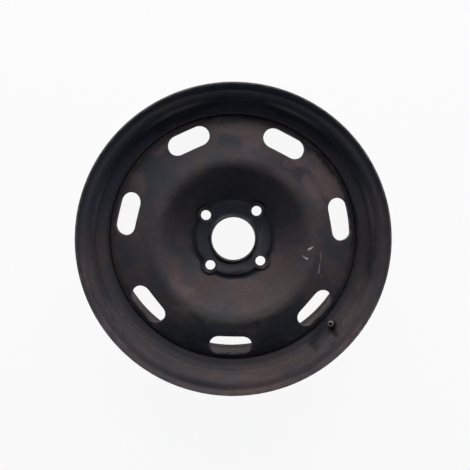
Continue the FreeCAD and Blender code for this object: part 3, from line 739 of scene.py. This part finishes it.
def make_valve_rubber(material):
    """The moulded body: a rounded collar on the rim's wall and a tapered sleeve with moulding rings."""
    profile = [
        (3.22, -5.9), (5.4, -5.9), (6.6, -5.55), (7.4, -4.7), (7.8, -3.5), (7.8, -1.5), (7.45, -0.65),
        (6.6, -0.3), (5.7, -0.3), (5.7, 3.1), (6.1, 3.1), (6.4, 3.45), (6.4, 4.9), (6.15, 5.7), (5.95, 6.3),
        (5.9, 7.4), (6.05, 7.6), (6.05, 8.1), (5.88, 8.3), (5.86, 9.3), (6.0, 9.5), (6.0, 10.0),
        (5.82, 10.2), (5.78, 11.2), (5.92, 11.4), (5.92, 11.9), (5.74, 12.1), (5.45, 18.0), (5.24, 24.0),
        (5.1, 24.9), (4.7, 25.4), (4.2, 25.5), (3.6, 25.42), (3.22, 25.2),
    ]
    verts, faces = closed_lathe([fixed(radius, along) for radius, along in profile], 72)
    piece("valve_rubber_body", verts, faces, material, "valve_rubber", sharp=60)


def make_spring(material):
    """The coil spring round the pin."""
    low = SPRING_FOOT + SPRING_WIRE + SPRING_GAP
    rise = SPRING_LENGTH - 2 * (SPRING_WIRE + SPRING_GAP)
    steps = 24 * SPRING_TURNS
    around = 10
    verts = []
    faces = []
    for i in range(steps + 1):
        angle = 2 * math.pi * SPRING_TURNS * i / steps
        for k in range(around):
            turn = 2 * math.pi * k / around
            radius = SPRING_RADIUS + SPRING_WIRE * math.cos(turn)
            verts.append(on_valve(radius, angle, low + rise * i / steps + SPRING_WIRE * math.sin(turn)))
    for i in range(steps):
        here, there = i * around, (i + 1) * around
        for k in range(around):
            after = (k + 1) % around
            faces.append((here + k, there + k, there + after, here + after))
    faces.append(tuple(range(around)))
    faces.append(tuple(reversed(range(steps * around, (steps + 1) * around))))
    coil = piece("core_spring_coil", verts, faces, material, "core_spring")
    on_valve(0, 0, SPRING_FOOT)
    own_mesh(coil)


def make_welds(material):
    """Weld beads behind the skirt with the ripples of their passes."""
    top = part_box("weld_beads")[1].z / MM - 0.02
    wall = CREASE - 0.07
    leg, depth = 4.9, 3.3
    sweep = 26.0
    ripple = 2.6
    run_out = 3.0
    length = wall * math.radians(sweep)
    around = 220
    section = 7
    verts = []
    faces = []
    for bead in range(VENT_COUNT):
        start = VENT_TURN + (bead + 0.5) * 360 / VENT_COUNT - sweep / 2
        base = len(verts)
        for i in range(around + 1):
            share = i / around
            angle = math.radians(start + sweep * share)
            along = length * share
            end = min(1.0, along / run_out, (length - along) / run_out)
            size = 0.35 + 0.65 * math.sqrt(max(end, 0.0))
            size *= 0.93 + 0.07 * math.sin(along * 0.9 + 2.1 * bead)
            size *= 0.84 + 0.16 * abs(math.sin(math.pi * along / ripple))
            spots = [(wall, top)]
            for j in range(section):
                turn = math.pi / 2 * j / (section - 1)
                bulge = 1.0 - 0.24 * math.sin(2 * turn)
                reach = size * bulge
                spots.append((wall - depth * reach * math.cos(turn), top - leg * reach * math.sin(turn)))
            for radius, height in spots:
                verts.append(Vector((radius * math.cos(angle), radius * math.sin(angle), height)) * MM)
        row = section + 1
        for i in range(around):
            for j in range(row):
                after = (j + 1) % row
                here = base + i * row
                faces.append((here + j, here + after, here + row + after, here + row + j))
        faces.append(tuple(base + j for j in reversed(range(row))))
        faces.append(tuple(base + around * row + j for j in range(row)))
    piece("weld_beads_rippled", verts, faces, material, "weld_beads", sharp=50)


def dress():
    """Every piece's finish, and the pieces that have finer shapes than their solids."""
    nickel = metal("valve_nickel", rgb(0.30, 0.29, 0.27), rgb(0.12, 0.11, 0.10), 0.85, 0.5, 420)
    # The core's brass is nearly black: tarnish, and painted shade in the valve's hole
    brass = metal("core_brass", rgb(0.070, 0.052, 0.030), rgb(0.012, 0.010, 0.009), 1.0, 0.6, 700)
    steel = metal("core_spring_steel", rgb(0.50, 0.50, 0.50), rgb(0.22, 0.19, 0.17), 0.5, 0.30, 900)
    seal = seal_rubber()
    finishes = {
        "rim": rim_paint(),
        "wheel_disc": disc_paint(),
        "core_plug": brass,
        "core_barrel": brass,
        "barrel_seal": seal,
        "core_pin": brass,
        "core_cup": brass,
        "cup_seal": seal,
    }
    for name, finish in finishes.items():
        node = frame["nodes"][name]
        node.data.materials.clear()
        node.data.materials.append(finish)
    make_valve_tube(nickel)
    make_spring(steel)
    make_valve_rubber(valve_rubber())
    make_welds(weld_paint())


def set_stage():
    """A round white floor that turns up into a wall far from the wheel."""
    floor_z = CAD_BOX[0].z - 0.0002
    profile = [(0.0, 0.0), (2.6, 0.0), (2.9, 0.05), (3.1, 0.2), (3.2, 0.5), (3.2, 2.6)]
    around = 96
    verts = [(0.0, 0.0, floor_z)]
    faces = []
    for radius, height in profile[1:]:
        for k in range(around):
            angle = 2 * math.pi * k / around
            verts.append((radius * math.cos(angle), radius * math.sin(angle), floor_z + height))
    for k in range(around):
        faces.append((0, 1 + k, 1 + (k + 1) % around))
    for ring in range(len(profile) - 2):
        start = 1 + ring * around
        for k in range(around):
            after = (k + 1) % around
            faces.append((start + k, start + around + k, start + around + after, start + after))
    mesh = bpy.data.meshes.new("studio_floor")
    mesh.from_pydata(verts, [], faces)
    for face in mesh.polygons:
        face.use_smooth = True
    floor = bpy.data.objects.new("studio_floor", mesh)
    bpy.context.scene.collection.objects.link(floor)
    floor.data.materials.append(white_floor())


def white_floor():
    """White to the camera, fainter in reflections, and partly shaded so that shadows show."""
    material, nodes = new_material("white_floor")
    rays = nodes.add("ShaderNodeLightPath")
    mirrored = nodes.times(rays.outputs["Is Glossy Ray"], 0.4)
    seen = nodes.most(rays.outputs["Is Camera Ray"], rays.outputs["Is Transmission Ray"], mirrored)
    share = nodes.times(seen, 0.92)
    matte = nodes.add("ShaderNodeBsdfDiffuse", {"Color": rgb(0.9, 0.9, 0.9)})
    glow = nodes.add("ShaderNodeEmission", {"Color": rgb(1, 1, 1), "Strength": 1.0})
    both = nodes.add("ShaderNodeMixShader", {0: share})
    nodes.tree.links.new(matte.outputs[0], both.inputs[1])
    nodes.tree.links.new(glow.outputs[0], both.inputs[2])
    output = nodes.add("ShaderNodeOutputMaterial")
    nodes.tree.links.new(both.outputs[0], output.inputs["Surface"])
    return material


def area_light(name, place, target, size, power, colour, shape="RECTANGLE"):
    data = bpy.data.lights.new(name, "AREA")
    data.shape = shape
    data.size, data.size_y = size
    data.energy = power
    data.color = colour
    lamp = bpy.data.objects.new(name, data)
    lamp.location = place
    lamp.rotation_mode = "QUATERNION"
    lamp.rotation_quaternion = (Vector(target) - Vector(place)).to_track_quat("-Z", "Y")
    lamp.visible_camera = False
    bpy.context.scene.collection.objects.link(lamp)


def light_scene():
    """One broad soft lamp from the photograph's upper side, two weak ones and a faint sky.

    The weak lamps are in the barrel and low on the side opposite the broad one.
    """
    floor_z = CAD_BOX[0].z
    low = floor_z + 0.09
    area_light("key", (0.05, 1.44, 0.88), (0, 0, 0), (2.0, 1.5), 34, (1.0, 0.96, 0.95))
    area_light("barrel", (0.0, 0.0, floor_z + MM), (0, 0, 1), (0.34, 0.34), 0.34, (1.0, 0.95, 0.93), "DISK")
    area_light("low_fill", (0.0, -1.6, low), (0, 0, low), (2.4, 0.16), 9, (0.95, 0.97, 1.0))
    world = bpy.data.worlds.new("studio")
    world.use_nodes = True
    back = world.node_tree.nodes["Background"]
    back.inputs["Color"].default_value = rgb(0.65, 0.92, 1.35)
    back.inputs["Strength"].default_value = 0.07
    bpy.context.scene.world = world


def set_camera():
    data = bpy.data.cameras.new("camera")
    data.sensor_width = SENSOR
    data.lens = SENSOR * FOCAL_PIXELS / IMAGE_SIZE
    data.clip_start = 0.01
    data.clip_end = 20.0
    camera = bpy.data.objects.new("camera", data)
    turn = Matrix.Rotation(CAMERA_TURN.length, 4, CAMERA_TURN.normalized()).inverted()
    camera.matrix_world = Matrix.Translation(CAMERA_PLACE) @ turn
    bpy.context.scene.collection.objects.link(camera)
    bpy.context.scene.camera = camera


dress()
set_stage()
light_scene()
set_camera()
bpy.context.scene.view_settings.view_transform = "Standard"
